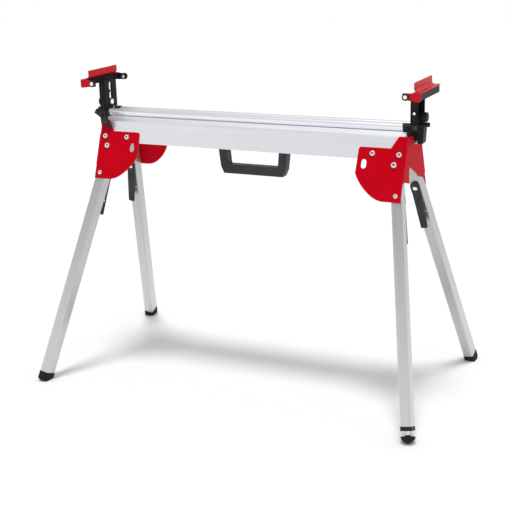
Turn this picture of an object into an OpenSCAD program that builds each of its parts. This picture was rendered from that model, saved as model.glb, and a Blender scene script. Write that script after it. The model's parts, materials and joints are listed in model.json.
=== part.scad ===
// Folding stand for a miter saw, standing open with both work supports pushed in.
// Millimetres. X runs along the beam, Y to the rear, Z up from the floor.

/* [Beam] */
// Distance between the outer faces of the two end brackets
frame_l = 1040; // [1020:5:1060]
// Height of the centres of the two round rails
rail_z = 840; // [830:1:850]
// Radius of a rail
rail_r = 12; // [11.5:0.25:12.5]
// Distance of a rail centre from the middle
rail_y = 21.5; // [21:0.25:22]
// Wall of the beam
beam_t = 2.5; // [2.2:0.1:2.8]
// Distance of the shoulder edge from the middle
shoulder_y = 54.5; // [53.5:0.5:55.5]
// Length of a skirt down its slope
skirt_l = 69; // [66:1:71]
// Slope of skirts and legs against the vertical
slope = 21; // [20.5:0.25:21.5]

/* [Brackets] */
// Thickness of the red sheet
sheet = 2.5; // [2.2:0.1:2.8]
// Width of a cheek along the beam
cheek_w = 145; // [143:1:148]
// Length of a cheek down the slope
cheek_l = 190.5; // [188:0.5:193]

/* [Legs] */
// Leg tube across, seen from the front
leg_w = 32; // [31:0.5:33]
// Leg tube front to back
leg_d = 40; // [38:0.5:41]
// Wall of the leg tube
leg_t = 2; // [1.6:0.2:2.4]
// Outward lean of a leg in the plane of its cheek
splay = 9.8; // [9.4:0.1:10.2]
// Leg pivot, inward from the end plate
pivot_a = 32.4; // [31:0.2:34]
// Leg pivot, down the slope
pivot_s = 82; // [80:0.5:84]
// Distance from the leg pivot to the lock pin
pin_r = 91; // [89:0.5:93]

/* [Work supports] */
// Arm tube width
arm_w = 30; // [28:0.5:30.5]
// Arm tube height
arm_h = 34; // [32:0.5:34.5]
// How far a post can be lowered
post_drop = 25; // [20:1:26]
// Height of the top of a support bar above the rail centres
bar_rise = 111; // [107:1:114]
// Half length of a support bar
bar_y = 95; // [90:1:100]
// Width of a support bar
bar_w = 22; // [20:0.5:24]
// Height of a flip stop above the bar
stop_h = 29; // [26:1:32]

/* [Handle] */
// Half width of the carry handle at its top
grip_half = 118; // [115:0.5:121]
// Height of the underside of the grip
grip_z = 662; // [656:1:668]

/* [Hidden] */
$fn = 64;
// gap between pieces that move against each other
gap = 0.3;
half_l = frame_l / 2;
beam_half = half_l - 10.5;
cap_out = half_l - 2.5;
deck_z = rail_z - 11;
deck_half = 33.5;
shoulder_z = rail_z - 23;
// cheek plane: top corner of its outer face
y_out = shoulder_y + sheet * cos(slope);
z_out = shoulder_z + sheet * sin(slope);
// inner box of the beam
mid_wall = 2.4;
chan_w = arm_w + 2 * gap;
chan_h = arm_h + 2 * gap;
chan_top = deck_z - beam_t;
chan_floor = chan_top - chan_h;
box_half = mid_wall / 2 + chan_w + beam_t;
box_bottom = chan_floor - beam_t;
arm_y = (mid_wall + chan_w) / 2;
arm_z = (chan_top + chan_floor) / 2;
arm_in = half_l - 12;
// legs, distances from the cheek's outer face
leg_n0 = sheet + 4;
leg_n1 = leg_n0 + leg_d;
leg_n = (leg_n0 + leg_n1) / 2;
pivot_z = z_out - pivot_s * cos(slope) - leg_n * sin(slope);
leg_fall = cos(splay) * cos(slope);
leg_l = pivot_z / leg_fall;
bolt_r = 5;
pin_d = 11;
foot_h = 26;
foot_wall = 1;
tube_short = 14;
above_room = 300;
nut_d = 18;
// levelling foot
level_z = 34;
cap_h = 12;
level_r = leg_l - level_z / leg_fall;
stud_d = 8;
ball_r = 6.5;
pad_r = 21.5;
// middle of the pad's bowl, its rim and the ball inside it, down the leg
pad_mid = leg_l - (pad_r - 0.5) / leg_fall;
pad_rim = pad_mid + 3.5;
ball_l = pad_rim + 8;
crown_r = 70;
// lock lever, distances down the leg from the pivot
lever_w = 30;
lever_taper = 0.03;
lever_top = 71;
lever_tail = 224;
axle_r = 176;
axle_n = leg_n1 + 6;
axle_d = 5;
lever_n1 = leg_n1 + 5;
bend_r = 106;
lever_rise = 0.178;
lever_t = 2.4;
lever_wall = 2.2;
lever_foot = axle_n - leg_n1 - gap;
ear_t = 2;
ear_x = lever_half(axle_r + 8) - lever_wall - gap - ear_t / 2;
// bracket outline, inward and down the slope
cheek_top = 34;
tab_w = 30;
tab_in = 48;
screw_s = 51.5;
screw_a = [20.6, 101.8];
screw_d = 6;
screw_head = 15;
slot_a = 125.3;
slot_s = 84.1;
slot_w = 16;
slot_l = 28;
nose_r = 163;
nose_from = 26;
nose_a = cheek_w + 3 - nose_r * cos(nose_from);
nose_s = cheek_top + 8;
nose_to = 58;
// smaller arc that leads from the nose into the lower edge
foot_r = (cheek_l - nose_s - nose_r * sin(nose_to)) / (1 - sin(nose_to));
foot_a = nose_a + (nose_r - foot_r) * cos(nose_to);
plate_top = 818;
plate_step = 790;
plate_low = 692;
plate_arch = 729;
panel_t = 1.5;
fold_w = 5.4;
// cross rod of the arm lock
rod_d = 7;
rod_x = (beam_half + cap_out) / 2;
rod_z = rail_z + 1;
cap_half = 36;
lever_y0 = 66;
lever_y1 = 80;
// post and its parts
web_x = half_l - 2;
post_t = 2.5;
post_half = 34.5;
post_depth = 22;
post_z0 = rail_z + 13;
slot_half = 8.5;
stud_z = rail_z + 30;
clamp_d = 8;
head_x = web_x + post_t + gap;
head_w = 30;
head_plate = 5.2;
head_x0 = half_l + 8;
head_x1 = half_l + 32;
head_y = 8;
head_z0 = rail_z - 51;
head_round = 8;
head_z1 = rail_z + 13;
knob_x0 = half_l + 24;
knob_x1 = half_l + 39;
knob_r = 13.5;
// support bar, its end walls and the flip stop
bar_top = rail_z + bar_rise;
bar_x0 = half_l + 23;
bar_x1 = bar_x0 + bar_w;
bar_t = 2.5;
bar_h = 21;
tongue_z = bar_top - 13;
hinge_x = web_x + 5;
hinge_z = bar_top - 10;
hinge_d = 6;
ear_r = 9;
lug_half = 10;
washer_r = 9.8;
stop_t = 2.2;
stop_bend = 8.5;
stop_x0 = bar_x0 + gap;
stop_x1 = bar_x1 + 2;
stop_z = bar_top + gap;
stop_inset = 12;
// handle
grip_top = grip_z + 29;
grip_knee = grip_z + 21;
grip_half_y = 14;
grip_shoulder = box_bottom - 57;
grip_in = 86;
handle_foot = 18;
// colours
silver = [0.8, 0.81, 0.83];
red = [0.78, 0.06, 0.13];
black = [0.1, 0.1, 0.11];
steel = [0.6, 0.6, 0.62];

// Puts a shape drawn for the right end at either end
module side(sx) {
  mirror([sx < 0 ? 1 : 0, 0, 0]) children();
}

// Arms and arm levers sit point for point opposite each other
module turned(sx) {
  rotate([0, 0, sx < 0 ? 180 : 0]) children();
}

// Frame of a cheek: x inward, y down the slope, z inward from the outer face
module face(sx, sy) {
  mirror([sx < 0 ? 1 : 0, 0, 0])
    mirror([0, sy < 0 ? 1 : 0, 0])
      translate([half_l, y_out, z_out])
        rotate([90 + slope, 0, 0])
          rotate([0, 0, 180])
            children();
}

// Frame of a leg: origin at the pivot, y down the leg, z as for the cheek
module leg(sx, sy) {
  face(sx, sy)
    translate([pivot_a, pivot_s, 0])
      rotate([0, 0, splay])
        children();
}

module each_face() {
  for (sx = [-1, 1])
    for (sy = [-1, 1])
      face(sx, sy) children();
}

module along_x(x0, x1) {
  translate([x0, 0, 0])
    rotate([90, 0, 90])
      linear_extrude(x1 - x0)
        children();
}

module rod_x_at(x0, x1, y, z, r) {
  translate([x0, y, z])
    rotate([0, 90, 0])
      cylinder(h = x1 - x0, r = r);
}

module rod_y_at(y0, y1, x, z, r) {
  translate([x, y0, z])
    rotate([-90, 0, 0])
      cylinder(h = y1 - y0, r = r);
}

module rounded(w, d, r) {
  translate([r, r])
    offset(r = r, $fn = 24)
      square([w - 2 * r, d - 2 * r]);
}

// Beam

function skirt_y(l) = shoulder_y + l * sin(slope);
function skirt_z(l) = shoulder_z - l * cos(slope);

module beam_outline(l) {
  polygon([
    [-skirt_y(l), skirt_z(l)], [-shoulder_y, shoulder_z], [-deck_half, deck_z],
    [deck_half, deck_z], [shoulder_y, shoulder_z], [skirt_y(l), skirt_z(l)]
  ]);
}

module beam_section() {
  difference() {
    beam_outline(skirt_l);
    offset(delta = -beam_t) beam_outline(skirt_l + 20);
  }
  difference() {
    translate([-box_half, box_bottom]) square([2 * box_half, chan_top + 1 - box_bottom]);
    for (s = [-1, 1])
      translate([s * arm_y - chan_w / 2, chan_floor]) square([chan_w, chan_h]);
  }
}

module beam() {
  color(silver)
    difference() {
      union() {
        along_x(-beam_half, beam_half) beam_section();
        for (s = [-1, 1])
          rod_x_at(-beam_half, beam_half, s * rail_y, rail_z, rail_r);
      }
      for (s = [-1, 1])
        rod_x_at(-beam_half - 1, beam_half + 1, s * rail_y, rail_z, rail_r - beam_t);
      each_face()
        for (a = screw_a)
          translate([a, screw_s, 0]) cylinder(h = 12, d = screw_d + gap);
      for (sx = [-1, 1], sy = [-1, 1])
        translate([sx * (grip_half + 10), sy * 8, box_bottom - 1])
          cylinder(h = beam_t + 2, d = screw_d + gap);
    }
}

// Brackets

module cheek_outline() {
  difference() {
    polygon(concat(
      [[0, -2], [tab_w - 4, -2], [tab_w, 2], [tab_in, cheek_top]],
      [for (t = [-90:15:0]) [cheek_w - 7 + 8 * cos(t), nose_s + 8 * sin(t)]],
      [for (k = [0:8]) let (t = nose_from + k * (nose_to - nose_from) / 8)
        [nose_a + nose_r * cos(t), nose_s + nose_r * sin(t)]],
      [for (k = [1:5]) let (t = nose_to + k * (90 - nose_to) / 5)
        [foot_a + foot_r * cos(t), cheek_l - foot_r + foot_r * sin(t)]],
      [[0, cheek_l]]
    ));
    for (a = screw_a)
      translate([a, screw_s]) circle(d = screw_d + gap);
    translate([pivot_a, pivot_s]) circle(r = bolt_r + gap);
    translate([pivot_a - pin_r * sin(splay), pivot_s + pin_r * cos(splay)]) circle(d = pin_d + 1);
    for (s = [-1, 1])
      translate([slot_a, slot_s + s * (slot_l - slot_w) / 2]) circle(d = slot_w);
    translate([slot_a - slot_w / 2, slot_s - (slot_l - slot_w) / 2])
      square([slot_w, slot_l - slot_w]);
  }
}

function edge_y(z) = y_out + (z_out - z) * tan(slope);

// Drawn for the right end, front edge first; the rear strip is only the fold of the cheek
module end_plate_outline() {
  fold_z = plate_low - 24;
  fold_end = z_out - cheek_l * cos(slope);
  difference() {
    polygon([
      [-edge_y(plate_low), plate_low], [-edge_y(plate_top), plate_top], [-2, plate_top - 3],
      [-2, plate_step], [edge_y(plate_step - 15), plate_step - 15],
      [edge_y(fold_end), fold_end], [edge_y(fold_end) - fold_w, fold_end],
      [edge_y(fold_z) - fold_w, fold_z], [50, plate_low - 7], [-34, plate_arch - 2],
      [-42, plate_arch], [-48, plate_arch - 7], [-48, plate_low - 9], [-84, plate_low]
    ]);
    translate([44, plate_low + 29]) circle(r = 3);
  }
}

// The plate is thicker below its high front tab
module end_panel_outline() {
  intersection() {
    end_plate_outline();
    polygon([
      [-half_l, plate_step + 8], [-20, plate_step + 3], [edge_y(plate_step - 15), plate_step - 15],
      [half_l, plate_step - 15], [half_l, plate_low - 10], [-half_l, plate_low - 10]
    ]);
  }
}

module bracket(sx) {
  color(red) {
    for (sy = [-1, 1])
      face(sx, sy) linear_extrude(sheet) cheek_outline();
    turned(sx) {
      along_x(half_l - sheet, half_l) end_plate_outline();
      along_x(half_l - 0.5, half_l + panel_t) end_panel_outline();
    }
  }
}

module bracket_screws() {
  color(steel)
    each_face()
      for (a = screw_a)
        translate([a, screw_s, 0]) {
          translate([0, 0, -3.5])
            difference() {
              cylinder(h = 3.5, d = screw_head);
              translate([0, 0, -1]) cylinder(h = 3, d = 6, $fn = 6);
            }
          cylinder(h = sheet + beam_t + 6, d = screw_d);
        }
}

module leg_pivot_bolts() {
  color(steel)
    each_face()
      translate([pivot_a, pivot_s, 0]) {
        translate([0, 0, -4])
          difference() {
            cylinder(h = 4, d = screw_head + 1);
            translate([0, 0, -1]) cylinder(h = 3, d = 8, $fn = 6);
          }
        cylinder(h = leg_n1 + 9, r = bolt_r);
      }
}

module leg_pivot_nuts() {
  color(steel)
    each_face()
      translate([pivot_a, pivot_s, leg_n1 + gap])
        difference() {
          cylinder(h = 8, d = nut_d, $fn = 6);
          translate([0, 0, -1]) cylinder(h = 12, r = bolt_r);
        }
}

// Beam ends

module end_cap(sx) {
  color(black)
    turned(sx)
      difference() {
        union() {
          along_x(beam_half, cap_out) {
            translate([-cap_half, box_bottom - 1.5])
              square([2 * cap_half, rail_z - box_bottom + 1.5]);
            for (s = [-1, 1])
              translate([s * rail_y, rail_z]) circle(r = rail_r);
          }
          rod_x_at(beam_half - 14, cap_out, -rail_y, rail_z, rail_r + 1.6);
        }
        rod_x_at(beam_half - 20, beam_half, -rail_y, rail_z, rail_r);
        translate([beam_half - 20, -cap_half - 4, box_bottom - 4])
          cube([20, 2 * cap_half + 8, rail_z - box_bottom + 5]);
        translate([beam_half - 1, arm_y - chan_w / 2, chan_floor])
          cube([cap_out - beam_half + 2, chan_w, chan_h]);
        rod_y_at(-cap_half - 1, cap_half + 1, rod_x, rod_z, rod_d / 2);
      }
}

module clamp_rods() {
  color(steel)
    for (sx = [-1, 1])
      turned(sx) {
        rod_y_at(-62, lever_y1 - 2, rod_x, rod_z, rod_d / 2);
        rod_y_at(cap_half, lever_y0 - gap, rod_x, rod_z, rod_d / 2 + 1.5);
      }
}

module clamp_nuts() {
  color(black)
    for (sx = [-1, 1])
      turned(sx)
        difference() {
          translate([rod_x, -cap_half - 7, rod_z])
            rotate([-90, 0, 0])
              cylinder(h = 7, d = 13, $fn = 6);
          rod_y_at(-70, 0, rod_x, rod_z, rod_d / 2);
        }
}

module arm_lever(sx) {
  color(black)
    turned(sx)
      difference() {
        translate([rod_x, lever_y1, rod_z])
          rotate([90, 0, 0]) {
            rotate([0, 0, -147])
              linear_extrude(lever_y1 - lever_y0)
                translate([-20, -8]) rounded(27, 16, 2);
            translate([0, 0, 4])
              rotate([0, 0, -124])
                linear_extrude(lever_y1 - lever_y0 - 5)
                  polygon([[0, -6], [8, -8], [20, -10], [36, -10], [50, -6.5], [56, -2],
                    [56, 2], [50, 6.5], [36, 10], [20, 10], [8, 8], [0, 6]]);
          }
        rod_y_at(0, lever_y1 - 2 + gap, rod_x, rod_z, rod_d / 2 + gap);
      }
}

// Carry handle

module handle_outline() {
  difference() {
    polygon([
      [-grip_half - handle_foot, box_bottom], [-grip_half - handle_foot, box_bottom - 5],
      [-grip_half, box_bottom - 5], [-grip_half, grip_shoulder], [-grip_half + 6, grip_knee],
      [-grip_half + 16, grip_z], [grip_half - 16, grip_z], [grip_half - 6, grip_knee],
      [grip_half, grip_shoulder], [grip_half, box_bottom - 5],
      [grip_half + handle_foot, box_bottom - 5], [grip_half + handle_foot, box_bottom]
    ]);
    polygon([
      [-grip_in - 9, box_bottom + 1], [-grip_in, grip_top + 2], [-grip_in + 2, grip_top],
      [grip_in - 2, grip_top], [grip_in, grip_top + 2], [grip_in + 9, box_bottom + 1]
    ]);
  }
}

module carry_handle() {
  color(black)
    difference() {
      translate([0, grip_half_y, 0])
        rotate([90, 0, 0])
          linear_extrude(2 * grip_half_y)
            handle_outline();
      for (sx = [-1, 1], sy = [-1, 1])
        translate([sx * (grip_half + 10), sy * 8, box_bottom - 8])
          cylinder(h = 10, d = screw_d + gap);
    }
}

module handle_screws() {
  color(steel)
    for (sx = [-1, 1], sy = [-1, 1])
      translate([sx * (grip_half + 10), sy * 8, box_bottom - 8]) {
        cylinder(h = 3, d = 9);
        cylinder(h = 8 + beam_t - 0.2, d = screw_d);
      }
}

// Legs

module leg_bar(w, d, r, y0, y1) {
  translate([-w / 2, y0, leg_n - d / 2])
    rotate([-90, 0, 0])
      translate([0, -d, 0])
        linear_extrude(y1 - y0)
          rounded(w, d, r);
}

module leg_tube(sx, sy, end_r) {
  color(silver)
    leg(sx, sy)
      difference() {
        intersection() {
          leg_bar(leg_w, leg_d, 3, -leg_w / 2, end_r);
          translate([0, 0, leg_n0])
            union() {
              cylinder(h = leg_d, r = leg_w / 2);
              translate([-leg_w / 2, 0, 0]) cube([leg_w, end_r, leg_d]);
            }
        }
        leg_bar(leg_w - 2 * leg_t, leg_d - 2 * leg_t, 1.5, -leg_w, end_r + 1);
        translate([0, 0, leg_n0 - 1]) cylinder(h = leg_d + 2, r = 9.5);
        translate([0, pin_r, leg_n0 - 1]) cylinder(h = leg_d + 2, d = pin_d + 2 * gap);
      }
}

module leg_plug(sx, sy) {
  inner_w = leg_w - 2 * leg_t;
  inner_d = leg_d - 2 * leg_t;
  color(black)
    leg(sx, sy)
      difference() {
        union() {
          intersection() {
            leg_bar(inner_w, inner_d, 1.5, -leg_w / 2, 36);
            translate([0, 0, leg_n0])
              union() {
                cylinder(h = leg_d, r = leg_w / 2 - 0.5);
                translate([-leg_w / 2, 0, 0]) cube([leg_w, 40, leg_d]);
              }
          }
          translate([0, 0, sheet + gap]) cylinder(h = leg_n1 - sheet - gap, r = 9.5);
        }
        translate([0, 0, -1]) cylinder(h = leg_n1 + 4, r = bolt_r + gap);
      }
}

module above_floor() {
  translate([-frame_l, -frame_l / 2, 0]) cube([2 * frame_l, frame_l, above_room]);
}

module foot(sx, sy) {
  color(black)
    intersection() {
      leg(sx, sy)
        difference() {
          intersection() {
            leg_bar(leg_w + 2 * foot_wall, leg_d + 2 * foot_wall, 4, leg_l - foot_h, leg_l + 20);
            translate([0, leg_l - 32, leg_n]) sphere(r = 40);
          }
          leg_bar(leg_w, leg_d, 3, leg_l - foot_h - 10, leg_l - tube_short);
        }
      above_floor();
    }
}

module level_cap() {
  color(black)
    leg(1, -1)
      difference() {
        leg_bar(leg_w + 2 * foot_wall, leg_d + 2 * foot_wall, 4, level_r - cap_h, level_r);
        leg_bar(leg_w, leg_d, 3, level_r - cap_h - 10, level_r - 4);
        translate([0, level_r - cap_h, leg_n])
          rotate([-90, 0, 0]) cylinder(h = 30, d = stud_d + 2 * gap);
      }
}

// The stud ends in a ball inside the domed pad, both in line with the leg
module levelling_stud() {
  color(steel)
    leg(1, -1)
      translate([0, ball_l, leg_n]) {
        rotate([90, 0, 0]) cylinder(h = 68, d = stud_d);
        sphere(r = ball_r);
      }
}

module levelling_pad() {
  color(black)
    intersection() {
      leg(1, -1)
        difference() {
          intersection() {
            translate([0, pad_mid, leg_n]) sphere(r = pad_r);
            translate([0, pad_rim - 3.2 + crown_r, leg_n]) sphere(r = crown_r);
          }
          translate([0, ball_l, leg_n]) sphere(r = ball_r + gap);
          translate([0, ball_l, leg_n])
            rotate([90, 0, 0]) cylinder(h = 40, r = stud_d / 2 + gap);
        }
      above_floor();
    }
}

module across_leg(w, y, z, r) {
  translate([-w / 2, y, z])
    rotate([0, 90, 0])
      cylinder(h = w, r = r);
}

module lever_bracket(sx, sy) {
  color(steel)
    leg(sx, sy) {
      translate([-ear_x - ear_t / 2, axle_r - 14, leg_n1]) cube([2 * ear_x + ear_t, 22, 1.6]);
      for (s = [-1, 1])
        translate([s * ear_x - ear_t / 2, axle_r - 5, leg_n1])
          cube([ear_t, 10, axle_n - leg_n1 + 4]);
      across_leg(2 * lever_half(axle_r), axle_r, axle_n, axle_d / 2);
    }
}

module lever_spring(sx, sy) {
  color(steel)
    leg(sx, sy)
      difference() {
        across_leg(2 * ear_x - ear_t - 1, axle_r, axle_n, axle_d / 2 + 0.8);
        across_leg(20, axle_r, axle_n, axle_d / 2);
      }
}

function lever_half(r) = lever_w / 2 - (r - lever_top - lever_w / 2) * lever_taper;
function lever_face(r) = lever_n1 + max(0, r - bend_r) * lever_rise;

module lever_outline(inset) {
  r = lever_w / 2 - inset;
  mid = lever_top + lever_w / 2;
  end = lever_half(lever_tail) - inset;
  translate([0, mid]) circle(r = r);
  polygon([
    [-r, mid], [r, mid], [end, lever_tail - 4], [end - 1.2, lever_tail - 1.2],
    [end - 4, lever_tail], [4 - end, lever_tail], [1.2 - end, lever_tail - 1.2],
    [-end, lever_tail - 4]
  ]);
}

// Flat over the pin, then slanting away from the leg; its side walls end past the axle
module lock_lever(sx, sy) {
  wall_r = axle_r + 8;
  room = lever_face(lever_tail) - leg_n1;
  color(black)
    leg(sx, sy)
      difference() {
        union() {
          intersection() {
            translate([0, 0, leg_n1])
              linear_extrude(room) lever_outline(0);
            along_x(-lever_w, lever_w)
              polygon([
                [lever_top - 1, leg_n1 + gap], [axle_r, leg_n1 + gap], [wall_r, leg_n1 + 1.4],
                [wall_r + 6, lever_face(wall_r + 6) - lever_t],
                [lever_tail, lever_face(lever_tail) - lever_t],
                [lever_tail, lever_face(lever_tail)], [bend_r, lever_n1], [lever_top - 1, lever_n1]
              ]);
          }
          across_leg(2 * lever_half(axle_r), axle_r, axle_n, lever_foot);
        }
        intersection() {
          translate([0, 0, leg_n1 - 1])
            linear_extrude(room) lever_outline(lever_wall);
          along_x(-lever_w, lever_w)
            polygon([
              [lever_top - 1, leg_n1 - 1], [wall_r + 8, leg_n1 - 1],
              [wall_r + 8, lever_face(wall_r + 8) - lever_t], [bend_r, lever_n1 - lever_t],
              [lever_top - 1, lever_n1 - lever_t]
            ]);
        }
        across_leg(lever_w + 2, axle_r, axle_n, axle_d / 2 + gap);
        for (y = [pin_r - 1, pin_r + 2])
          translate([0, y, leg_n1]) cylinder(h = 20, d = pin_d + 2);
      }
}

module lock_pin(sx, sy) {
  color(steel)
    leg(sx, sy)
      translate([0, pin_r, 0]) {
        translate([0, 0, sheet + gap]) cylinder(h = lever_n1 - sheet, d = pin_d);
        translate([0, 0, lever_n1 + gap]) cylinder(h = 2.5, r = 7);
      }
}

// Work supports

module arm_tube(sx) {
  color(silver)
    turned(sx)
      difference() {
        translate([-arm_in, arm_y - arm_w / 2, arm_z - arm_h / 2])
          cube([arm_in + cap_out, arm_w, arm_h]);
        translate([-arm_in - 1, arm_y - arm_w / 2 + leg_t, arm_z - arm_h / 2 + leg_t])
          cube([arm_in + cap_out + 2, arm_w - 2 * leg_t, arm_h - 2 * leg_t]);
      }
}

// Head block seen from the front and from the end; the neck runs from it into the tube
module head_front() {
  offset(r = head_round, $fn = 24)
    offset(delta = -head_round)
      polygon([[head_x0, head_z1], [head_x0 + 4, head_z0], [head_x1 - 4, head_z0], [head_x1, head_z1]]);
}

module head_end() {
  translate([head_y - head_w / 2, head_z0]) rounded(head_w, head_z1 - head_z0, head_round);
}

module arm_head(sx) {
  neck_z = arm_z - arm_h / 2 + leg_t + 6;
  neck_h = arm_h - 2 * leg_t - 7;
  color(black)
    turned(sx)
      difference() {
        union() {
          intersection() {
            translate([0, head_y + head_w / 2, 0])
              rotate([90, 0, 0])
                linear_extrude(head_w)
                  head_front();
            along_x(head_x0 - 2, head_x1 + 2) head_end();
          }
          translate([head_x, head_y - head_w / 2 + 4, stud_z - 26])
            cube([head_x0 + 6 - head_x, head_w - 8, 6]);
          translate([head_x, -head_w / 2, stud_z - 26]) cube([head_plate, head_w, 26]);
          rod_x_at(head_x, head_x + head_plate, 0, stud_z, 11);
          rod_x_at(head_x1 - 6, head_x1 + 11, head_y, head_z1 - 6.5, 6.5);
          translate([cap_out - 7, arm_y - arm_w / 2 + leg_t, neck_z])
            cube([head_x0 + 15 - cap_out, arm_w - 2 * leg_t, neck_h]);
        }
        rod_x_at(head_x - 1, head_x1 + 1, 0, stud_z, clamp_d / 2);
      }
}

module clamp_stud(sx) {
  color(steel)
    side(sx) {
      rod_x_at(web_x - gap, knob_x0 + 6, 0, stud_z, clamp_d / 2);
      intersection() {
        rod_x_at(web_x - 4.3, web_x - gap, 0, stud_z, slot_half + 1);
        translate([web_x + 11, 0, stud_z]) sphere(r = 17);
      }
    }
}

module height_knob(sx) {
  neck = head_x + head_plate + gap;
  color(black)
    side(sx)
      difference() {
        union() {
          rod_x_at(neck, knob_x0, 0, stud_z, 8);
          rod_x_at(knob_x0, knob_x1, 0, stud_z, knob_r);
        }
        rod_x_at(neck - 1, knob_x0 + 6 + gap, 0, stud_z, clamp_d / 2 + gap);
      }
}

module post(sx) {
  window_z = tongue_z - 2 - slot_half;
  slots = [[stud_z, stud_z + post_drop], [window_z - 12, window_z]];
  color(black)
    side(sx)
      difference() {
        union() {
          translate([web_x, -post_half, post_z0])
            cube([post_t, 2 * post_half, tongue_z - post_z0]);
          for (s = [-1, 1])
            translate([web_x, s > 0 ? post_half - post_t : -post_half, post_z0])
              cube([post_depth, post_t, tongue_z - post_z0]);
        }
        for (slot = slots) {
          for (z = slot)
            rod_x_at(web_x - 1, web_x + post_t + 1, 0, z, slot_half);
          translate([web_x - 1, -slot_half, slot[0]])
            cube([post_t + 2, 2 * slot_half, slot[1] - slot[0]]);
        }
      }
}

// End wall of the support bar, from round the hinge out to the bar's outer wall
module lug_outline() {
  difference() {
    union() {
      translate([hinge_x - lug_half, hinge_z - lug_half])
        rounded(2 * lug_half, 2 * lug_half, 2.5);
      polygon([
        [hinge_x, bar_top], [hinge_x, hinge_z - lug_half], [bar_x0, bar_top - bar_h],
        [bar_x1, bar_top - bar_h], [bar_x1, bar_top]
      ]);
    }
    translate([hinge_x, hinge_z]) circle(d = hinge_d);
  }
}

module support_bar(sx) {
  color(black)
    side(sx) {
      translate([web_x, -post_half, tongue_z])
        cube([bar_x0 + bar_t - web_x, 2 * post_half, bar_t]);
      translate([bar_x0, -bar_y, bar_top - bar_t]) cube([bar_w, 2 * bar_y, bar_t]);
      translate([bar_x0, -bar_y, tongue_z]) cube([bar_t, 2 * bar_y, bar_top - tongue_z]);
      translate([bar_x1 - bar_t, -bar_y, bar_top - bar_h]) cube([bar_t, 2 * bar_y, bar_h]);
      for (y = [-bar_y + bar_t, bar_y])
        translate([0, y, 0])
          rotate([90, 0, 0])
            linear_extrude(bar_t)
              lug_outline();
    }
}

// Each bolt has a wide washer outside the ear and a nut inside the lug
module stop_bolts(sx) {
  ear_out = bar_y + 2 * gap + sheet;
  color(steel)
    side(sx)
      for (s = [-1, 1])
        mirror([0, s < 0 ? 1 : 0, 0]) {
          rod_y_at(bar_y - bar_t - 8, ear_out, hinge_x, hinge_z, hinge_d / 2);
          rod_y_at(ear_out, ear_out + 2, hinge_x, hinge_z, washer_r);
          rod_y_at(ear_out + 2, ear_out + 5, hinge_x, hinge_z, 5.5);
          translate([hinge_x, bar_y - bar_t - 5, hinge_z])
            rotate([-90, 0, 0])
              cylinder(h = 5, d = 12, $fn = 6);
        }
}

// The front ear is full, the rear one a strip behind the lug
module stop_ear(r, x1, low) {
  difference() {
    union() {
      polygon([
        [hinge_x, hinge_z + r], [stop_x0 + stop_bend, stop_z + stop_t],
        [x1, stop_z + stop_t], [x1, low + 4], [x1 - 4, low], [hinge_x, hinge_z - r]
      ]);
      translate([hinge_x, hinge_z]) circle(r = r);
    }
    translate([hinge_x, hinge_z]) circle(r = hinge_d / 2 + gap);
  }
}

// The plate bends up from the flat over the bar
module stop_outline() {
  k = stop_t * tan(22.5);
  polygon([
    [stop_x1, stop_z], [stop_x0 + stop_bend, stop_z], [stop_x0, stop_z + stop_bend],
    [stop_x0, bar_top + stop_h], [stop_x0 + stop_t, bar_top + stop_h],
    [stop_x0 + stop_t, stop_z + stop_bend + k], [stop_x0 + stop_bend + k, stop_z + stop_t],
    [stop_x1, stop_z + stop_t]
  ]);
}

module flip_stop(sx) {
  ear_y = bar_y + gap;
  plate_y = bar_y - stop_inset;
  color(red)
    side(sx) {
      translate([0, -ear_y, 0])
        rotate([90, 0, 0])
          linear_extrude(sheet)
            stop_ear(ear_r, stop_x1, bar_top - bar_h - 3);
      translate([0, ear_y + sheet, 0])
        rotate([90, 0, 0])
          linear_extrude(sheet)
            stop_ear(ear_r - 1.5, stop_x1 - 5, hinge_z - 7);
      translate([stop_x0 + stop_bend + 1, -ear_y - sheet, stop_z])
        cube([stop_x1 - stop_x0 - stop_bend - 1, 2 * (ear_y + sheet), stop_t]);
      translate([0, plate_y, 0])
        rotate([90, 0, 0])
          linear_extrude(2 * plate_y)
            stop_outline();
    }
}

beam();
bracket(-1);  // bracket_left
bracket(1);  // bracket_right
bracket_screws();
leg_pivot_bolts();
leg_pivot_nuts();
end_cap(-1);  // end_cap_left
end_cap(1);  // end_cap_right
carry_handle();
handle_screws();
clamp_rods();
clamp_nuts();
leg_tube(-1, -1, leg_l - tube_short);  // leg_tube_left_front
leg_plug(-1, -1);  // leg_plug_left_front
foot(-1, -1);  // foot_left_front
lever_bracket(-1, -1);  // lever_bracket_left_front
lock_lever(-1, -1);  // lock_lever_left_front
lock_pin(-1, -1);  // lock_pin_left_front
lever_spring(-1, -1);  // lever_spring_left_front
leg_tube(-1, 1, leg_l - tube_short);  // leg_tube_left_rear
leg_plug(-1, 1);  // leg_plug_left_rear
foot(-1, 1);  // foot_left_rear
lever_bracket(-1, 1);  // lever_bracket_left_rear
lock_lever(-1, 1);  // lock_lever_left_rear
lock_pin(-1, 1);  // lock_pin_left_rear
lever_spring(-1, 1);  // lever_spring_left_rear
leg_tube(1, -1, level_r - 4);  // leg_tube_right_front
leg_plug(1, -1);  // leg_plug_right_front
level_cap();  // foot_right_front
lever_bracket(1, -1);  // lever_bracket_right_front
lock_lever(1, -1);  // lock_lever_right_front
lock_pin(1, -1);  // lock_pin_right_front
lever_spring(1, -1);  // lever_spring_right_front
leg_tube(1, 1, leg_l - tube_short);  // leg_tube_right_rear
leg_plug(1, 1);  // leg_plug_right_rear
foot(1, 1);  // foot_right_rear
lever_bracket(1, 1);  // lever_bracket_right_rear
lock_lever(1, 1);  // lock_lever_right_rear
lock_pin(1, 1);  // lock_pin_right_rear
lever_spring(1, 1);  // lever_spring_right_rear
levelling_stud();
levelling_pad();
arm_tube(-1);  // arm_tube_left
arm_head(-1);  // arm_head_left
clamp_stud(-1);  // clamp_stud_left
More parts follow.
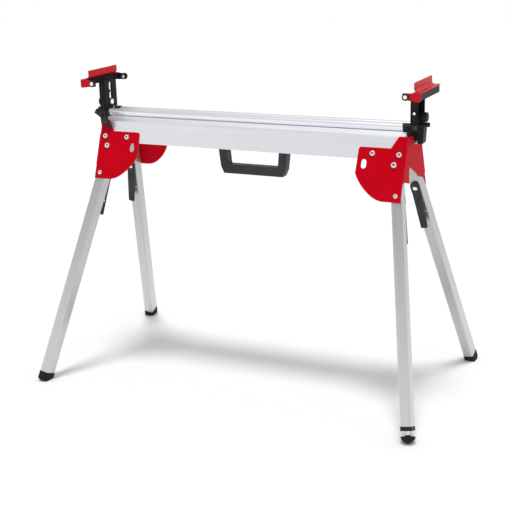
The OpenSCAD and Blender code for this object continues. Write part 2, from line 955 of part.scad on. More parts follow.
height_knob(-1);  // height_knob_left
post(-1);  // post_left
support_bar(-1);  // support_bar_left
stop_bolts(-1);  // stop_bolts_left
flip_stop(-1);  // flip_stop_left
arm_lever(-1);  // arm_lever_left
arm_tube(1);  // arm_tube_right
arm_head(1);  // arm_head_right
clamp_stud(1);  // clamp_stud_right
height_knob(1);  // height_knob_right
post(1);  // post_right
support_bar(1);  // support_bar_right
stop_bolts(1);  // stop_bolts_right
flip_stop(1);  // flip_stop_right
arm_lever(1);  // arm_lever_right
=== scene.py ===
import json
import math

import bmesh
import bpy
from mathutils import Matrix, Vector


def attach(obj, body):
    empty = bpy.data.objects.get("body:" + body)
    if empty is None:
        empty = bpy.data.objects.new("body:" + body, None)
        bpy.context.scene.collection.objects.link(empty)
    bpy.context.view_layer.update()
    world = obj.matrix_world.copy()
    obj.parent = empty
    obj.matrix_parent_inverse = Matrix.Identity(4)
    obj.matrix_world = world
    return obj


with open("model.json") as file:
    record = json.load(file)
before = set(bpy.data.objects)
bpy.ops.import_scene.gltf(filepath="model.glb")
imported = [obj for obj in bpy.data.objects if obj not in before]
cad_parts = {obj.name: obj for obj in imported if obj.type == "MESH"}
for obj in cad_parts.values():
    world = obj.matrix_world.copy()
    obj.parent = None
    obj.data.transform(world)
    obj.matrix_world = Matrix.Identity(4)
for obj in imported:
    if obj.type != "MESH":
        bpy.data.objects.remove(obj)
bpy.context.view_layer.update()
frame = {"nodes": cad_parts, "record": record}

nodes = frame["nodes"]
MM = 0.001

# Main dimensions as in the CAD, in millimetres and radians
SLOPE = math.radians(21)
SPLAY = math.radians(9.8)
HALF_L = 520
RAIL_Z = 840
RAIL_Y = 21.5
RAIL_R = 12
SHEET = 2.5
Y_OUT = 54.5 + SHEET * math.cos(SLOPE)
Z_OUT = RAIL_Z - 23 + SHEET * math.sin(SLOPE)
PIVOT_A = 32.4
PIVOT_S = 82
PIN_R = 91
LEG_W = 32
LEG_D = 40
LEG_N0 = SHEET + 4
LEG_N1 = LEG_N0 + LEG_D
LEG_N = (LEG_N0 + LEG_N1) / 2
LEG_FALL = math.cos(SPLAY) * math.cos(SLOPE)
PIVOT_Z = Z_OUT - PIVOT_S * math.cos(SLOPE) - LEG_N * math.sin(SLOPE)
LEG_L = PIVOT_Z / LEG_FALL
PAD_RIM = LEG_L - 21 / LEG_FALL + 3.5
LEVER_N1 = LEG_N1 + 5
LEVER_W = 30
LEVER_TOP = 71
BEND_R = 106
LEVER_SLANT = math.atan(0.178)
SCREW_S = 51.5
SCREW_A = (20.6, 101.8)
ROD_X = HALF_L - 6.5
ROD_Z = RAIL_Z + 1
ARM_LEVER_Y = 80
STUD_Z = RAIL_Z + 30
KNOB_X0 = HALF_L + 24
KNOB_X1 = HALF_L + 39
KNOB_R = 13.5
HINGE_X = HALF_L + 3
HINGE_Z = RAIL_Z + 101
BAR_Y = 95
EAR_OUT = BAR_Y + SHEET + 0.6
POST_HALF = 34.5

LEGS = (("left_front", -1, -1), ("left_rear", -1, 1), ("right_front", 1, -1), ("right_rear", 1, 1))
ENDS = (("left", -1), ("right", 1))

# Camera at the photograph's viewing angle
CAM_AZ = math.radians(25.9)
CAM_PITCH = math.radians(16.78)
CAM_ROLL = math.radians(-1.62)
CAM_PLACE = Vector((1.488, -3.074, 1.422))
CAM_LENS = 77.76
CAM_SENSOR = 36
CAM_REACH = 50


def make_camera():
    forward = Vector((-math.sin(CAM_AZ) * math.cos(CAM_PITCH),
                      math.cos(CAM_AZ) * math.cos(CAM_PITCH), -math.sin(CAM_PITCH)))
    right = Vector((math.cos(CAM_AZ), math.sin(CAM_AZ), 0))
    up = right.cross(forward)
    right_r = math.cos(CAM_ROLL) * right + math.sin(CAM_ROLL) * up
    up_r = math.cos(CAM_ROLL) * up - math.sin(CAM_ROLL) * right
    data = bpy.data.cameras.new("camera")
    data.lens = CAM_LENS
    data.sensor_width = CAM_SENSOR
    data.clip_end = CAM_REACH
    cam = bpy.data.objects.new("camera", data)
    turn = Matrix((right_r, up_r, -forward)).transposed().to_4x4()
    cam.matrix_world = Matrix.Translation(CAM_PLACE) @ turn
    bpy.context.scene.collection.objects.link(cam)
    bpy.context.scene.camera = cam


# Materials

# how far an edge looks rounded, in metres
EDGE = 0.0008


class Shader:
    """A node material built in a few calls."""

    def __init__(self, name):
        self.mat = bpy.data.materials.new(name)
        self.mat.use_nodes = True
        self.tree = self.mat.node_tree
        self.bsdf = self.tree.nodes["Principled BSDF"]
        self.place = self.add("ShaderNodeTexCoord").outputs["Object"]

    def add(self, kind, **values):
        node = self.tree.nodes.new(kind)
        for key, value in values.items():
            setattr(node, key, value)
        return node

    def link(self, out, socket):
        self.tree.links.new(out, socket)

    def mapped(self, scale, turn=(0, 0, 0)):
        node = self.add("ShaderNodeMapping")
        node.vector_type = "TEXTURE"
        node.inputs["Rotation"].default_value = turn
        stretch = self.add("ShaderNodeMapping")
        stretch.inputs["Scale"].default_value = scale
        self.link(self.place, node.inputs["Vector"])
        self.link(node.outputs["Vector"], stretch.inputs["Vector"])
        return stretch.outputs["Vector"]

    def noise(self, where, scale, detail=3.0, rough=0.55):
        node = self.add("ShaderNodeTexNoise")
        node.inputs["Scale"].default_value = scale
        node.inputs["Detail"].default_value = detail
        node.inputs["Roughness"].default_value = rough
        self.link(where, node.inputs["Vector"])
        return node.outputs["Fac"]

    def ramp(self, fac, low, high, start=0.3, end=0.7):
        node = self.add("ShaderNodeMapRange")
        node.inputs["From Min"].default_value = start
        node.inputs["From Max"].default_value = end
        node.inputs["To Min"].default_value = low
        node.inputs["To Max"].default_value = high
        self.link(fac, node.inputs["Value"])
        return node.outputs["Result"]

    def tint(self, fac, dark, light, start=0.3, end=0.7):
        node = self.add("ShaderNodeMix", data_type="RGBA")
        self.link(self.ramp(fac, 0, 1, start, end), node.inputs["Factor"])
        node.inputs["A"].default_value = (*dark, 1)
        node.inputs["B"].default_value = (*light, 1)
        return node.outputs["Result"]

    def times(self, first, second):
        node = self.add("ShaderNodeMix", data_type="RGBA", blend_type="MULTIPLY")
        node.inputs["Factor"].default_value = 1
        self.link(first, node.inputs["A"])
        self.link(second, node.inputs["B"])
        return node.outputs["Result"]

    def bump(self, height, strength, distance, normal):
        node = self.add("ShaderNodeBump")
        node.inputs["Strength"].default_value = strength
        node.inputs["Distance"].default_value = distance
        self.link(height, node.inputs["Height"])
        self.link(normal, node.inputs["Normal"])
        return node.outputs["Normal"]

    def soft_edges(self, radius):
        node = self.add("ShaderNodeBevel", samples=4)
        node.inputs["Radius"].default_value = radius
        return node.outputs["Normal"]

    def level(self, value):
        self.bsdf.inputs["Specular IOR Level"].default_value = value


def scaled(colour, k):
    return tuple(min(1.0, c * k) for c in colour)


def aluminium(name, colour, rough, turn=(0, 0, 0), streak=0.06, painted_shade=None):
    """Drawn aluminium: fine lines along the local X axis; an optional painted shade, given as (axis,
    start, end, shade), darkens the colour along one axis.
    """
    s = Shader(name)
    lines = s.noise(s.mapped((1.5, 260, 260), turn), 1.0, 4.0, 0.6)
    cloud = s.noise(s.mapped((2, 5, 5), turn), 1.0, 2.0)
    base = s.tint(lines, scaled(colour, 1 - streak), scaled(colour, 1 + streak * 0.5))
    last = s.times(base, s.tint(cloud, (0.95, 0.95, 0.96), (1, 1, 1)))
    # painted shade: the colour is multiplied down towards the given shade along one axis
    if painted_shade:
        axis, start, end, shade = painted_shade
        split = s.add("ShaderNodeSeparateXYZ")
        s.link(s.place, split.inputs[0])
        reach = s.add("ShaderNodeMath", operation="ABSOLUTE")
        s.link(split.outputs[axis], reach.inputs[0])
        veil = s.tint(reach.outputs[0], (1, 1, 1), (shade, shade, shade), start, end)
        last = s.times(last, veil)
    s.link(last, s.bsdf.inputs["Base Color"])
    s.link(s.ramp(lines, rough - 0.05, rough + 0.07), s.bsdf.inputs["Roughness"])
    s.bsdf.inputs["Metallic"].default_value = 0.9
    s.link(s.bump(lines, 0.12, 0.0002, s.soft_edges(EDGE)), s.bsdf.inputs["Normal"])
    return s.mat


def powder_coat(name, colour, rough, edge, gloss, rim=None):
    """Smooth baked paint with a faint orange peel; rim, when given, is a painted highlight: a paler
    colour mixed in along the rounded edges.
    """
    s = Shader(name)
    peel = s.noise(s.place, 420, 2.0)
    cloud = s.noise(s.place, 9, 3.0)
    soft = s.soft_edges(edge)
    paint_colour = s.tint(cloud, scaled(colour, 0.93), scaled(colour, 1.05))
    # painted highlight: near rounded edges the paint colour is mixed up to three quarters of the way
    # towards the pale rim colour
    if rim is not None:
        dot = s.add("ShaderNodeVectorMath", operation="DOT_PRODUCT")
        s.link(soft, dot.inputs[0])
        s.link(s.add("ShaderNodeNewGeometry").outputs["Normal"], dot.inputs[1])
        mix = s.add("ShaderNodeMix", data_type="RGBA")
        s.link(s.ramp(dot.outputs["Value"], 0.75, 0, 0.80, 0.985), mix.inputs["Factor"])
        s.link(paint_colour, mix.inputs["A"])
        mix.inputs["B"].default_value = (*rim, 1)
        paint_colour = mix.outputs["Result"]
    s.link(paint_colour, s.bsdf.inputs["Base Color"])
    s.link(s.ramp(peel, rough - 0.04, rough + 0.05), s.bsdf.inputs["Roughness"])
    s.level(gloss)
    s.link(s.bump(peel, 0.10, 0.0003, soft), s.bsdf.inputs["Normal"])
    return s.mat


def plastic(name, colour, rough, grain=1500, depth=0.25, gloss=0.3):
    """Moulded plastic or rubber with a fine spark-eroded grain."""
    s = Shader(name)
    fine = s.noise(s.place, grain, 3.0, 0.7)
    cloud = s.noise(s.place, 24, 3.0)
    s.link(s.tint(cloud, scaled(colour, 0.85), scaled(colour, 1.2)), s.bsdf.inputs["Base Color"])
    s.link(s.ramp(fine, rough - 0.07, rough + 0.08), s.bsdf.inputs["Roughness"])
    s.level(gloss)
    s.link(s.bump(fine, depth, 0.0002, s.soft_edges(EDGE)), s.bsdf.inputs["Normal"])
    return s.mat


def plated(name, colour, rough, spots=0.06):
    """Zinc or chrome plating, lightly mottled."""
    s = Shader(name)
    cloud = s.noise(s.place, 160, 4.0)
    s.link(s.tint(cloud, scaled(colour, 1 - spots), colour), s.bsdf.inputs["Base Color"])
    s.link(s.ramp(cloud, rough - 0.05, rough + 0.06), s.bsdf.inputs["Roughness"])
    s.bsdf.inputs["Metallic"].default_value = 1
    s.link(s.bump(cloud, 0.05, 0.0002, s.soft_edges(0.0005)), s.bsdf.inputs["Normal"])
    return s.mat


BEAM_SILVER = (0.93, 0.94, 0.98)
LEG_SILVER = (0.67, 0.67, 0.675)
RED = (0.60, 0.002, 0.012)
STOP_RED = (0.62, 0.008, 0.013)
# painted highlight: the pale pink mixed into the edges of the red paint
RED_EDGE_HIGHLIGHT = (0.80, 0.11, 0.12)
BLACK = (0.0105, 0.010, 0.0098)
# axis, start, end in metres, and the shade reached there; each is painted shade
# painted shade: each leg darkens by up to 22 % from 0.15 m up to 0.6 m height
LEG_PAINTED_SHADE = ("Z", 0.15, 0.6, 0.78)
# painted shade: the last stretch at both ends of each arm tube darkened nearly to black, where it shows
# under the arm heads
ARM_END_PAINTED_SHADE = ("X", 0.497, 0.499, 0.02)
METAL_ROUGH = 0.34

beam_metal = aluminium("beam_aluminium", BEAM_SILVER, 0.36, streak=0.03)
# arm metal carries the painted shade that blackens the arm tube ends
arm_metal = aluminium("arm_aluminium", LEG_SILVER, METAL_ROUGH, painted_shade=ARM_END_PAINTED_SHADE)
# both red coats get the painted highlight on their edges
red_coat = powder_coat("red_powder_coat", RED, 0.42, 0.0025, 0.02, RED_EDGE_HIGHLIGHT)
stop_coat = powder_coat("stop_powder_coat", STOP_RED, 0.40, 0.0015, 0.14, RED_EDGE_HIGHLIGHT)
black_coat = powder_coat("black_powder_coat", (0.014, 0.013, 0.013), 0.45, 0.0012, 0.08)
black_plastic = plastic("black_plastic", BLACK, 0.55)
handle_plastic = plastic("handle_plastic", (0.034, 0.033, 0.034), 0.5, 1500, 0.2)
lever_plastic = plastic("lever_plastic", (0.030, 0.029, 0.030), 0.5, 1500, 0.2, 0.35)
rubber = plastic("black_rubber", (0.013, 0.013, 0.014), 0.75, 900, 0.35, 0.2)
zinc = plated("zinc_plate", (0.95, 0.95, 0.95), 0.30, 0.03)
chrome = plated("chrome_plate", (0.90, 0.90, 0.92), 0.12, 0.02)
bronze = plated("pin_steel", (0.80, 0.74, 0.64), 0.35, 0.15)
# painted shade: washers coloured dark to draw a shadow ring round each screw head
shade_steel = plated("washer_painted_shade", (0.30, 0.24, 0.24), 0.45, 0.15)

slot_material = {
    "extrusion": beam_metal, "leg_metal": arm_metal, "red_paint": red_coat,
    "black_paint": black_coat, "black_plastic": black_plastic, "rubber": rubber,
    "steel": zinc, "chrome": chrome,
}


def leg_turn(sx, sy):
    """Rotation that lays the local X axis along a leg."""
    down = Vector((sx * math.sin(SPLAY), sy * math.cos(SPLAY) * math.sin(SLOPE),
                   -math.cos(SPLAY) * math.cos(SLOPE)))
    return down.to_track_quat("X", "Z").to_euler()


def paint(obj, mat):
    obj.data.materials.clear()
    obj.data.materials.append(mat)


def paint_nodes():
    slots = {row["node"]: row["material_slot"] for row in frame["record"]["subparts"]}
    for name, obj in nodes.items():
        paint(obj, slot_material[slots[name]])
    for name, sx, sy in LEGS:
        # each leg gets the painted shade that darkens it towards the top
        mat = aluminium(f"leg_aluminium_{name}", LEG_SILVER, METAL_ROUGH, leg_turn(sx, sy), 0.1, LEG_PAINTED_SHADE)
        paint(nodes[f"leg_tube_{name}"], mat)
        paint(nodes[f"lock_lever_{name}"], lever_plastic)
    paint(nodes["carry_handle"], handle_plastic)
    paint(nodes["clamp_rods"], black_coat)
    for name, _ in ENDS:
        paint(nodes[f"flip_stop_{name}"], stop_coat)
        paint(nodes[f"arm_tube_{name}"], arm_metal)


def round_edges(names, width, parts=2):
    """Real rounding on nodes whose corners show against what is behind them."""
    for name in names:
        mod = nodes[name].modifiers.new("rounded_edges", "BEVEL")
        mod.width = width
        mod.segments = parts
        mod.limit_method = "ANGLE"
        mod.angle_limit = math.radians(38)
        mod.use_clamp_overlap = True


# Frames: each turns local millimetres into the model's millimetres

def cheek_frame(sx, sy):
    """X inward from the end plate, Y down the slope, Z inward from the outer face."""
    s = math.sin(SLOPE)
    c = math.cos(SLOPE)
    return Matrix(((-sx, 0, 0, sx * HALF_L), (0, sy * s, -sy * c, sy * Y_OUT),
                   (0, -c, -s, Z_OUT), (0, 0, 0, 1)))


def leg_frame(sx, sy):
    """Origin at the leg's pivot, Y down the leg, Z inward from the cheek's outer face."""
    place = Matrix.Translation((PIVOT_A, PIVOT_S, 0))
    return cheek_frame(sx, sy) @ place @ Matrix.Rotation(SPLAY, 4, "Z")


def end_frame(sx):
    return Matrix.Diagonal((sx, 1, 1, 1))


def turned_frame(sx):
    return Matrix.Diagonal((sx, sx, 1, 1))


def along_x(frame_in, x, y, z):
    """Z axis laid along +X, from a point."""
    return frame_in @ Matrix.Translation((x, y, z)) @ Matrix.Rotation(math.pi / 2, 4, "Y")


def along_y(frame_in, x, y, z, way=1):
    """Z axis laid along +Y or -Y, from a point."""
    return frame_in @ Matrix.Translation((x, y, z)) @ Matrix.Rotation(-way * math.pi / 2, 4, "X")


# Outlines and the shells made from them

def ring(r, n=36, lobes=0, depth=0.0):
    points = []
    for i in range(n):
        t = 2 * math.pi * i / n
        out = r + depth * math.cos(lobes * t)
        points.append((out * math.cos(t), out * math.sin(t)))
    return points


def rounded_box(x0, y0, x1, y1, r, steps=5):
    points = []
    corners = ((x1 - r, y1 - r, 0), (x0 + r, y1 - r, 90), (x0 + r, y0 + r, 180), (x1 - r, y0 + r, 270))
    for cx, cy, start in corners:
        for k in range(steps + 1):
            t = math.radians(start + 90 * k / steps)
            points.append((cx + r * math.cos(t), cy + r * math.sin(t)))
    return points


def cross(reach, half):
    h = half
    return [(reach, h), (h, h), (h, reach), (-h, reach), (-h, h), (-reach, h),
            (-reach, -h), (-h, -h), (-h, -reach), (h, -reach), (h, -h), (reach, -h)]


class Piece:
    """Collects closed shells and turns them into one smooth-shaded object."""

    def __init__(self):
        self.bm = bmesh.new()

    def loop(self, place, outline, z):
        return [self.bm.verts.new(place @ Vector((x, y, z)) * MM) for x, y in outline]

    def skin(self, a, b):
        n = len(a)
        for i in range(n):
            self.bm.faces.new((a[i], a[(i + 1) % n], b[(i + 1) % n], b[i]))

    def shell(self, place, levels):
        """levels is a list of (outline, z); both ends are closed."""
        loops = [self.loop(place, outline, z) for outline, z in levels]
        for a, b in zip(loops, loops[1:]):
            self.skin(a, b)
        self.bm.faces.new(loops[0][::-1])
        self.bm.faces.new(loops[-1])

    def band(self, place, levels):
        """A shell whose last level is joined to its first, such as a ring."""
        loops = [self.loop(place, outline, z) for outline, z in levels]
        for a, b in zip(loops, loops[1:] + loops[:1]):
            self.skin(a, b)

    def lathe(self, place, profile, n=36):
        self.shell(place, [(ring(r, n), z) for r, z in profile])

    def washer(self, place, profile, n=36):
        self.band(place, [(ring(r, n), z) for r, z in profile])

    def slab(self, place, outline, z0, z1, soft=0.3):
        """A flat shape with its top edge rounded over."""
        cx = sum(p[0] for p in outline) / len(outline)
        cy = sum(p[1] for p in outline) / len(outline)
        reach = max(abs(p[0] - cx) for p in outline) + 1e-6
        rise = max(abs(p[1] - cy) for p in outline) + 1e-6
        inner = [(cx + (x - cx) * (1 - soft / reach), cy + (y - cy) * (1 - soft / rise))
                 for x, y in outline]
        way = 1 if z1 > z0 else -1
        self.shell(place, [(outline, z0), (outline, z1 - way * soft), (inner, z1)])

    def screw_head(self, place, r, z0, rise, reach, half, depth):
        """A pan head with a real cross recess; the head rises towards -Z."""
        levels = [(ring(r, 40), z0), (ring(r, 40), z0 - rise * 0.45),
                  (ring(r * 0.92, 40), z0 - rise * 0.78), (ring(r * 0.74, 40), z0 - rise)]
        loops = [self.loop(place, outline, z) for outline, z in levels]
        for a, b in zip(loops, loops[1:]):
            self.skin(a, b)
        self.bm.faces.new(loops[0][::-1])
        top = loops[-1]
        hole = self.loop(place, cross(reach, half), z0 - rise)
        low = self.loop(place, cross(reach * 0.7, half * 0.8), z0 - rise + depth)
        self.skin(hole, low)
        self.bm.faces.new(low)
        edges = []
        for path in (top, hole):
            for i, vert in enumerate(path):
                after = path[(i + 1) % len(path)]
                edge = self.bm.edges.get((vert, after))
                edges.append(edge if edge else self.bm.edges.new((vert, after)))
        bmesh.ops.triangle_fill(self.bm, edges=edges, use_beauty=True)

    def finish(self, name, mat, body, angle=40):
        bmesh.ops.recalc_face_normals(self.bm, faces=self.bm.faces)
        mesh = bpy.data.meshes.new(name)
        self.bm.to_mesh(mesh)
        self.bm.free()
        mesh.polygons.foreach_set("use_smooth", [True] * len(mesh.polygons))
        mesh.set_sharp_from_angle(angle=math.radians(angle))
        mesh.materials.append(mat)
        obj = bpy.data.objects.new(name, mesh)
        bpy.context.scene.collection.objects.link(obj)
        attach(obj, body)


# Fasteners on the brackets

def cross_screw(pieces, place, r, seat, rise, reach, half, depth, shadow_cross, sink, shade_ring_r):
    """A screw head, a black cross laid in its recess as painted shade, and a dark ring under it as
    painted shade; it rises towards -Z.
    """
    heads, dark, rings = pieces
    heads.screw_head(place, r, seat, rise, reach, half, depth)
    low = seat - sink
    # painted shade: a black cross slab at the bottom of the recess
    dark.shell(place, ((shadow_cross, low), (shadow_cross, low - 1.4)))
    inner = shade_ring_r - 1.3
    # painted shade: a dark washer ring round the head
    rings.washer(place, ((shade_ring_r, 0), (shade_ring_r, -0.7), (shade_ring_r - 0.4, -1.0), (inner, -1.0), (inner, 0)))


def make_bracket_heads():
    piece = Piece()
    pins = Piece()
    hearts = Piece()
    dark = Piece()
    rings = Piece()
    pieces = (piece, dark, rings)
    for _, sx, sy in LEGS:
        cheek = cheek_frame(sx, sy)
        for a in SCREW_A:
            turn = Matrix.Rotation(math.radians(a * 3 + 20 * sy), 4, "Z")
            place = cheek @ Matrix.Translation((a, SCREW_S, 0)) @ turn
            cross_screw(pieces, place, r=7.6, seat=-3.0, rise=2.4, reach=4.6, half=1.35, depth=1.9,
                        shadow_cross=cross(3.9, 1.15), sink=0.3, shade_ring_r=8.5)
        place = cheek @ Matrix.Translation((PIVOT_A, PIVOT_S, 0))
        place = place @ Matrix.Rotation(0.5, 4, "Z")
        cross_screw(pieces, place, r=8.1, seat=-3.4, rise=2.6, reach=4.8, half=1.4, depth=2.0,
                    shadow_cross=cross(4.1, 1.2), sink=0.4, shade_ring_r=9.0)
        end = leg_frame(sx, sy) @ Matrix.Translation((0, PIN_R, 0))
        pins.washer(end, ((6.8, 0), (6.8, -0.9), (6.3, -1.4), (5.5, -1.4), (4.9, -0.9), (4.9, 0)))
        hearts.lathe(end, ((4.9, SHEET - 1.8), (4.9, 0.1), (3.6, -0.2), (1.4, -0.2)))
    piece.finish("screw_heads", zinc, "frame", 30)
    pins.finish("pin_eyelets", chrome, "frame", 30)
    rings.finish("screw_washers_painted_shade", shade_steel, "frame", 30)
    hearts.finish("pin_bushes", bronze, "frame", 30)
    dark.finish("screw_recess_shadows", black_plastic, "frame", 30)


# Lock levers: raised rim, a sunk oval, a step and grip ribs

def make_lock_levers():
    half = LEVER_W / 2
    mid = LEVER_TOP + half
    out = LEVER_N1
    sunk = out - 0.2
    proud = out + 0.6
    for name, sx, sy in LEGS:
        place = leg_frame(sx, sy)
        piece = Piece()
        rims = []
        for inset in (0, 2.2):
            r = half - inset
            rim = [(r * math.cos(t), mid - r * math.sin(t))
                   for t in (math.pi * k / 16 for k in range(17))]
            rims.append(rim + [(-r, BEND_R - inset), (r, BEND_R - inset)])
        outer, inner = rims
        piece.band(place, ((outer, sunk), (outer, proud), (inner, proud), (inner, sunk)))
        at_pin = place @ Matrix.Translation((0, PIN_R, 0))
        piece.washer(at_pin, ((9.6, sunk), (9.6, proud), (7.6, proud), (7.6, sunk)))
        slant = place @ Matrix.Translation((0, BEND_R, out)) @ Matrix.Rotation(LEVER_SLANT, 4, "X")
        oval = rounded_box(-7, 10, 7, 34, 6.9, 8)
        hole = rounded_box(-5.2, 11.8, 5.2, 32.2, 5.1, 8)
        piece.band(slant, ((oval, -0.2), (oval, 0.9), (hole, 0.9), (hole, -0.2)))
        piece.slab(slant, rounded_box(-8.5, 43, 8.5, 45.2, 1.0), -0.2, 0.8)
        for r in range(88, 116, 5):
            piece.slab(slant, rounded_box(-9, r, 9, r + 2.2, 1.0), -0.2, 0.9)
        piece.finish(f"lever_relief_{name}", lever_plastic, f"lock_lever_{name}")
        head = Piece()
        dome = ((7.2, 0.7), (7.3, 2.2), (6.6, 3.3), (4.6, 4.1), (2.0, 4.5))
        head.lathe(at_pin, [(r, out + rise) for r, rise in dome])
        head.finish(f"lock_pin_head_{name}", chrome, f"lock_pin_{name}", 60)


# Feet: rubber bands round three boots, and the thread and rim of the levelling foot

def down_leg(sx, sy):
    """Z axis laid down the middle of a leg, from its pivot."""
    return leg_frame(sx, sy) @ Matrix.Translation((0, 0, LEG_N)) @ Matrix.Rotation(-math.pi / 2, 4, "X")


def make_feet():
    half_w = LEG_W / 2 + 1
    half_d = LEG_D / 2 + 1
    for name, sx, sy in LEGS:
        if name == "right_front":
            continue
        place = down_leg(sx, sy)
        piece = Piece()
        for r in (LEG_L - 24.5, LEG_L - 20):
            levels = []
            for grow, z in ((-0.3, 0), (0.25, 0.3), (0.25, 1.7), (-0.3, 2.0)):
                w = half_w + grow
                d = half_d + grow
                levels.append((rounded_box(-w, -d, w, d, 4 + grow), r + z))
            piece.band(place, levels)
        piece.finish(f"boot_bands_{name}", rubber, f"leg_{name}")
    place = down_leg(1, -1)
    rim = Piece()
    rim.washer(place, ((21.3, PAD_RIM - 0.4), (21.5, PAD_RIM + 0.6), (21.2, PAD_RIM + 1.8),
                       (19.6, PAD_RIM + 1.6), (19.2, PAD_RIM - 0.8), (20.6, PAD_RIM - 0.8)), 48)
    rim.washer(place, ((8.0, PAD_RIM - 2.2), (7.6, PAD_RIM - 4.4), (5.6, PAD_RIM - 5.2),
                       (4.6, PAD_RIM - 5.2), (4.6, PAD_RIM - 2.2)))
    rim.finish("pad_rim", rubber, "levelling_foot", 50)
    thread = Piece()
    pitch = 1.75
    start = PAD_RIM - 31
    turns = 15
    steps = 20
    corners = ((3.7, -0.6), (4.2, 0), (3.7, 0.6))
    loops = []
    for i in range(turns * steps + 1):
        t = 2 * math.pi * i / steps
        z = start + pitch * i / steps
        spots = [Vector((r * math.cos(t), r * math.sin(t), z + h)) for r, h in corners]
        loops.append([thread.bm.verts.new(place @ spot * MM) for spot in spots])
    for a, b in zip(loops, loops[1:]):
        thread.skin(a, b)
    thread.bm.faces.new(loops[0][::-1])
    thread.bm.faces.new(loops[-1])
    thread.finish("levelling_thread", zinc, "levelling_screw", 30)


# Work supports

def make_knob(name, sx):
    place = along_x(end_frame(sx), 0, 0, STUD_Z)
    piece = Piece()
    lobes = dict(lobes=9, depth=0.55, n=108)
    grip = KNOB_R + 0.2
    piece.shell(place, ((ring(grip - 1.6, **lobes), KNOB_X0 - 0.4), (ring(grip, **lobes), KNOB_X0 + 1.4),
                        (ring(grip, **lobes), KNOB_X1 - 1.8), (ring(grip - 2.0, **lobes), KNOB_X1 - 0.2),
                        (ring(grip - 4.5, n=108), KNOB_X1 + 0.4)))
    piece.lathe(place, ((8.6, KNOB_X0 - 6), (9.4, KNOB_X0 - 5),
                        (10.6, KNOB_X0 - 0.5), (10.6, KNOB_X0 + 0.5)))
    low = KNOB_X1 + 0.2
    high = KNOB_X1 + 1.1
    piece.washer(place, ((7.2, low), (7.2, high), (5.6, high), (5.6, low)))
    piece.finish(f"knob_grip_{name}", black_plastic, f"height_knob_{name}")


def make_head_relief(name, sx):
    """Ribs and a peg on the arm's moulded head."""
    base = turned_frame(sx)
    piece = Piece()
    for way, y in ((-1, -7), (1, 23)):
        place = along_y(base, 0, y, 0, way)
        low, high = sorted((-way * 801, -way * 838))
        for x in (534.5, 540, 545.5):
            piece.slab(place, rounded_box(x - 0.9, low, x + 0.9, high, 0.8), -0.4, 0.7, 0.25)
    piece.finish(f"head_ribs_{name}", black_plastic, f"arm_{name}")
    end = Piece()
    cap = along_x(base, HALF_L + 43, 8, RAIL_Z + 6.5)
    end.lathe(cap, ((6.8, -11), (6.8, -1.5), (5.6, 0.4), (2.8, 1.0)))
    end.finish(f"head_peg_{name}", black_plastic, f"arm_{name}", 60)


def make_post_details(name, sx):
    """Dark slot-shaped plates on the flanges as painted shade where slots would be, the clamp stud's head
    and the hinge bolts of a post.
    """
    base = end_frame(sx)
    body = f"post_{name}"
    dark = Piece()
    bright = Piece()
    for side in (-1, 1):
        flange = along_y(base, 0, side * POST_HALF, 0, side)
        up = -side
        bolt = Matrix.Translation((HALF_L + 9.5, up * (STUD_Z + 14), 0))
        if side == -sx:
            bright.lathe(flange @ bolt, ((4.3, -0.5), (4.3, 0.9), (3.6, 1.8), (1.8, 2.3)), 28)
        # painted shade: dark slot-shaped plates laid on the flange
        for low, high in ((RAIL_Z + 16, STUD_Z + 6), (STUD_Z + 24, RAIL_Z + 92)):
            y0, y1 = sorted((up * low, up * high))
            dark.slab(flange, rounded_box(HALF_L + 7, y0, HALF_L + 12, y1, 2.4), -0.4, 0.25, 0.1)
        hinge = along_y(base, HINGE_X, side * EAR_OUT, HINGE_Z, side)
        dark.washer(hinge, ((10.4, -0.1), (10.4, 1.9), (9.6, 2.5),
                            (6.6, 2.5), (6.0, 2.0), (6.0, -0.1)), 44)
        bright.screw_head(hinge @ Matrix.Rotation(math.pi, 4, "X"), 5.9, -4.0, 1.9, 3.2, 0.7, 1.4)
    dark.finish(f"post_bosses_and_slot_shade_{name}", black_plastic, body)
    bright.finish(f"post_bolts_{name}", chrome, body, 30)


def lever_face(sx, y, angle):
    """Laid on a face of the arm lever, turned by an angle in degrees about the cross rod."""
    place = turned_frame(sx) @ Matrix.Translation((ROD_X, y, ROD_Z))
    return place @ Matrix.Rotation(math.pi / 2, 4, "X") @ Matrix.Rotation(math.radians(angle), 4, "Z")


def make_arm_lever(name, sx):
    place = lever_face(sx, ARM_LEVER_Y, -147)
    piece = Piece()
    for i in range(6):
        x = -17.6 + 4.1 * i
        piece.slab(place, rounded_box(x, -6.6, x + 2.2, 6.6, 1.0), 0.3, -0.9, 0.3)
    leaf = lever_face(sx, ARM_LEVER_Y - 4, -124)
    piece.slab(leaf, rounded_box(17, -6.4, 38, 6.4, 5.5, 6), 0.3, -0.9, 0.6)
    piece.finish(f"arm_lever_ribs_{name}", lever_plastic, f"arm_lever_{name}")


def make_rail_lips():
    """A thin sleeve on one rail at each end, cut slantwise, longest along the top of the rail."""
    reach_on_top = 3
    piece = Piece()
    for sx in (-1, 1):
        place = along_x(turned_frame(sx), 0, -RAIL_Y, RAIL_Z)
        loops = []
        for r, start in ((RAIL_R + 1.75, HALF_L - 24.4), (RAIL_R + 0.15, HALF_L - 24.9)):
            slant = []
            for x, y in ring(r, 40):
                # the frame turns Z to X, so local -X is up
                reach = reach_on_top * max(0.0, -x / r) ** 1.5
                slant.append(piece.bm.verts.new(place @ Vector((x, y, start - reach)) * MM))
            loops.append(slant)
            loops.append(piece.loop(place, ring(r, 40), HALF_L - 3))
        near_outer, far_outer, near_inner, far_inner = loops
        path = (near_outer, far_outer, far_inner, near_inner, near_outer)
        for a, b in zip(path, path[1:]):
            piece.skin(a, b)
    piece.finish("rail_lips", black_plastic, "frame")


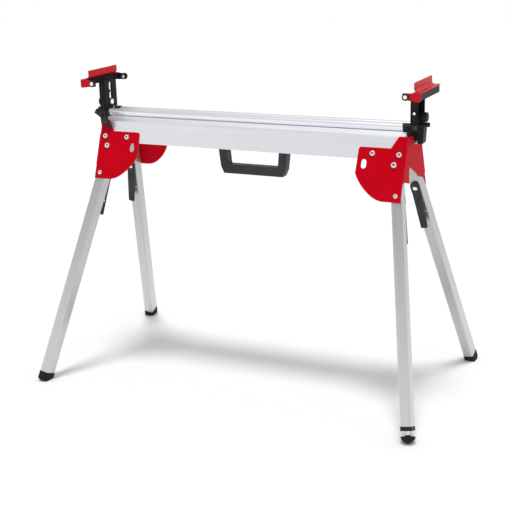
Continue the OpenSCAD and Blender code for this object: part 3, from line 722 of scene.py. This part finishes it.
def make_pieces():
    make_bracket_heads()
    make_lock_levers()
    make_feet()
    make_rail_lips()
    for name, sx in ENDS:
        make_knob(name, sx)
        make_head_relief(name, sx)
        make_post_details(name, sx)
        make_arm_lever(name, sx)


# Light and floor

SOFT_MIDDLE = 0.56
SOFT_TO_RIGHT = 0.16
SUN_POWER = 1.55
SUN_SPREAD = math.radians(14)
SUN_TILT = math.radians(6.5)


def make_light():
    world = bpy.data.worlds.new("studio")
    bpy.context.scene.world = world
    world.use_nodes = True
    tree = world.node_tree
    out = tree.nodes["World Output"]
    split = tree.nodes.new("ShaderNodeSeparateXYZ")
    tree.links.new(tree.nodes.new("ShaderNodeTexCoord").outputs["Generated"], split.inputs[0])
    soft = tree.nodes["Background"]
    soft.inputs["Color"].default_value = (1, 1, 1, 1)
    side = tree.nodes.new("ShaderNodeMath")
    side.operation = "MULTIPLY_ADD"
    side.inputs[1].default_value = SOFT_TO_RIGHT
    side.inputs[2].default_value = SOFT_MIDDLE
    tree.links.new(split.outputs["X"], side.inputs[0])
    tree.links.new(side.outputs[0], soft.inputs["Strength"])
    # what gloss mirrors: white up to a quarter of the height, a grey ceiling above
    ceiling = tree.nodes.new("ShaderNodeValToRGB")
    ramp = ceiling.color_ramp
    ramp.elements[0].position = 0.25
    ramp.elements[0].color = (1, 1, 1, 1)
    ramp.elements[1].position = 0.44
    ramp.elements[1].color = (0.72, 0.72, 0.72, 1)
    ramp.elements.new(0.8).color = (0.48, 0.48, 0.48, 1)
    tree.links.new(split.outputs["Z"], ceiling.inputs["Fac"])
    mirror = tree.nodes.new("ShaderNodeBackground")
    tree.links.new(ceiling.outputs["Color"], mirror.inputs["Color"])
    white = tree.nodes.new("ShaderNodeBackground")
    white.inputs["Color"].default_value = (1, 1, 1, 1)
    white.inputs["Strength"].default_value = 1
    path = tree.nodes.new("ShaderNodeLightPath")
    last = soft
    for ray, shade in (("Is Glossy Ray", mirror), ("Is Camera Ray", white)):
        mix = tree.nodes.new("ShaderNodeMixShader")
        tree.links.new(path.outputs[ray], mix.inputs["Fac"])
        tree.links.new(last.outputs[0], mix.inputs[1])
        tree.links.new(shade.outputs[0], mix.inputs[2])
        last = mix
    tree.links.new(last.outputs[0], out.inputs["Surface"])
    data = bpy.data.lights.new("overhead", "SUN")
    data.energy = SUN_POWER
    data.angle = SUN_SPREAD
    sun = bpy.data.objects.new("overhead", data)
    sun.rotation_euler = (SUN_TILT, 0, 0)
    bpy.context.scene.collection.objects.link(sun)


def make_floor():
    size = 12
    mesh = bpy.data.meshes.new("floor")
    corners = [(-size, -size, 0), (size, -size, 0), (size, size, 0), (-size, size, 0)]
    mesh.from_pydata(corners, [], [(0, 1, 2, 3)])
    floor = bpy.data.objects.new("floor", mesh)
    floor.location.z = -0.0005
    bpy.context.scene.collection.objects.link(floor)
    s = Shader("white_floor")
    s.link(s.tint(s.noise(s.place, 3), (0.97, 0.97, 0.97), (0.98, 0.98, 0.98)),
           s.bsdf.inputs["Base Color"])
    s.bsdf.inputs["Roughness"].default_value = 1
    s.level(0)
    floor.data.materials.append(s.mat)


paint_nodes()
round_edges(("carry_handle",), 0.0025, 3)
round_edges(("arm_head_left", "arm_head_right", "arm_lever_left", "arm_lever_right"), 0.001)
make_camera()
make_light()
make_floor()
make_pieces()

scene = bpy.context.scene
scene.view_settings.view_transform = "Standard"
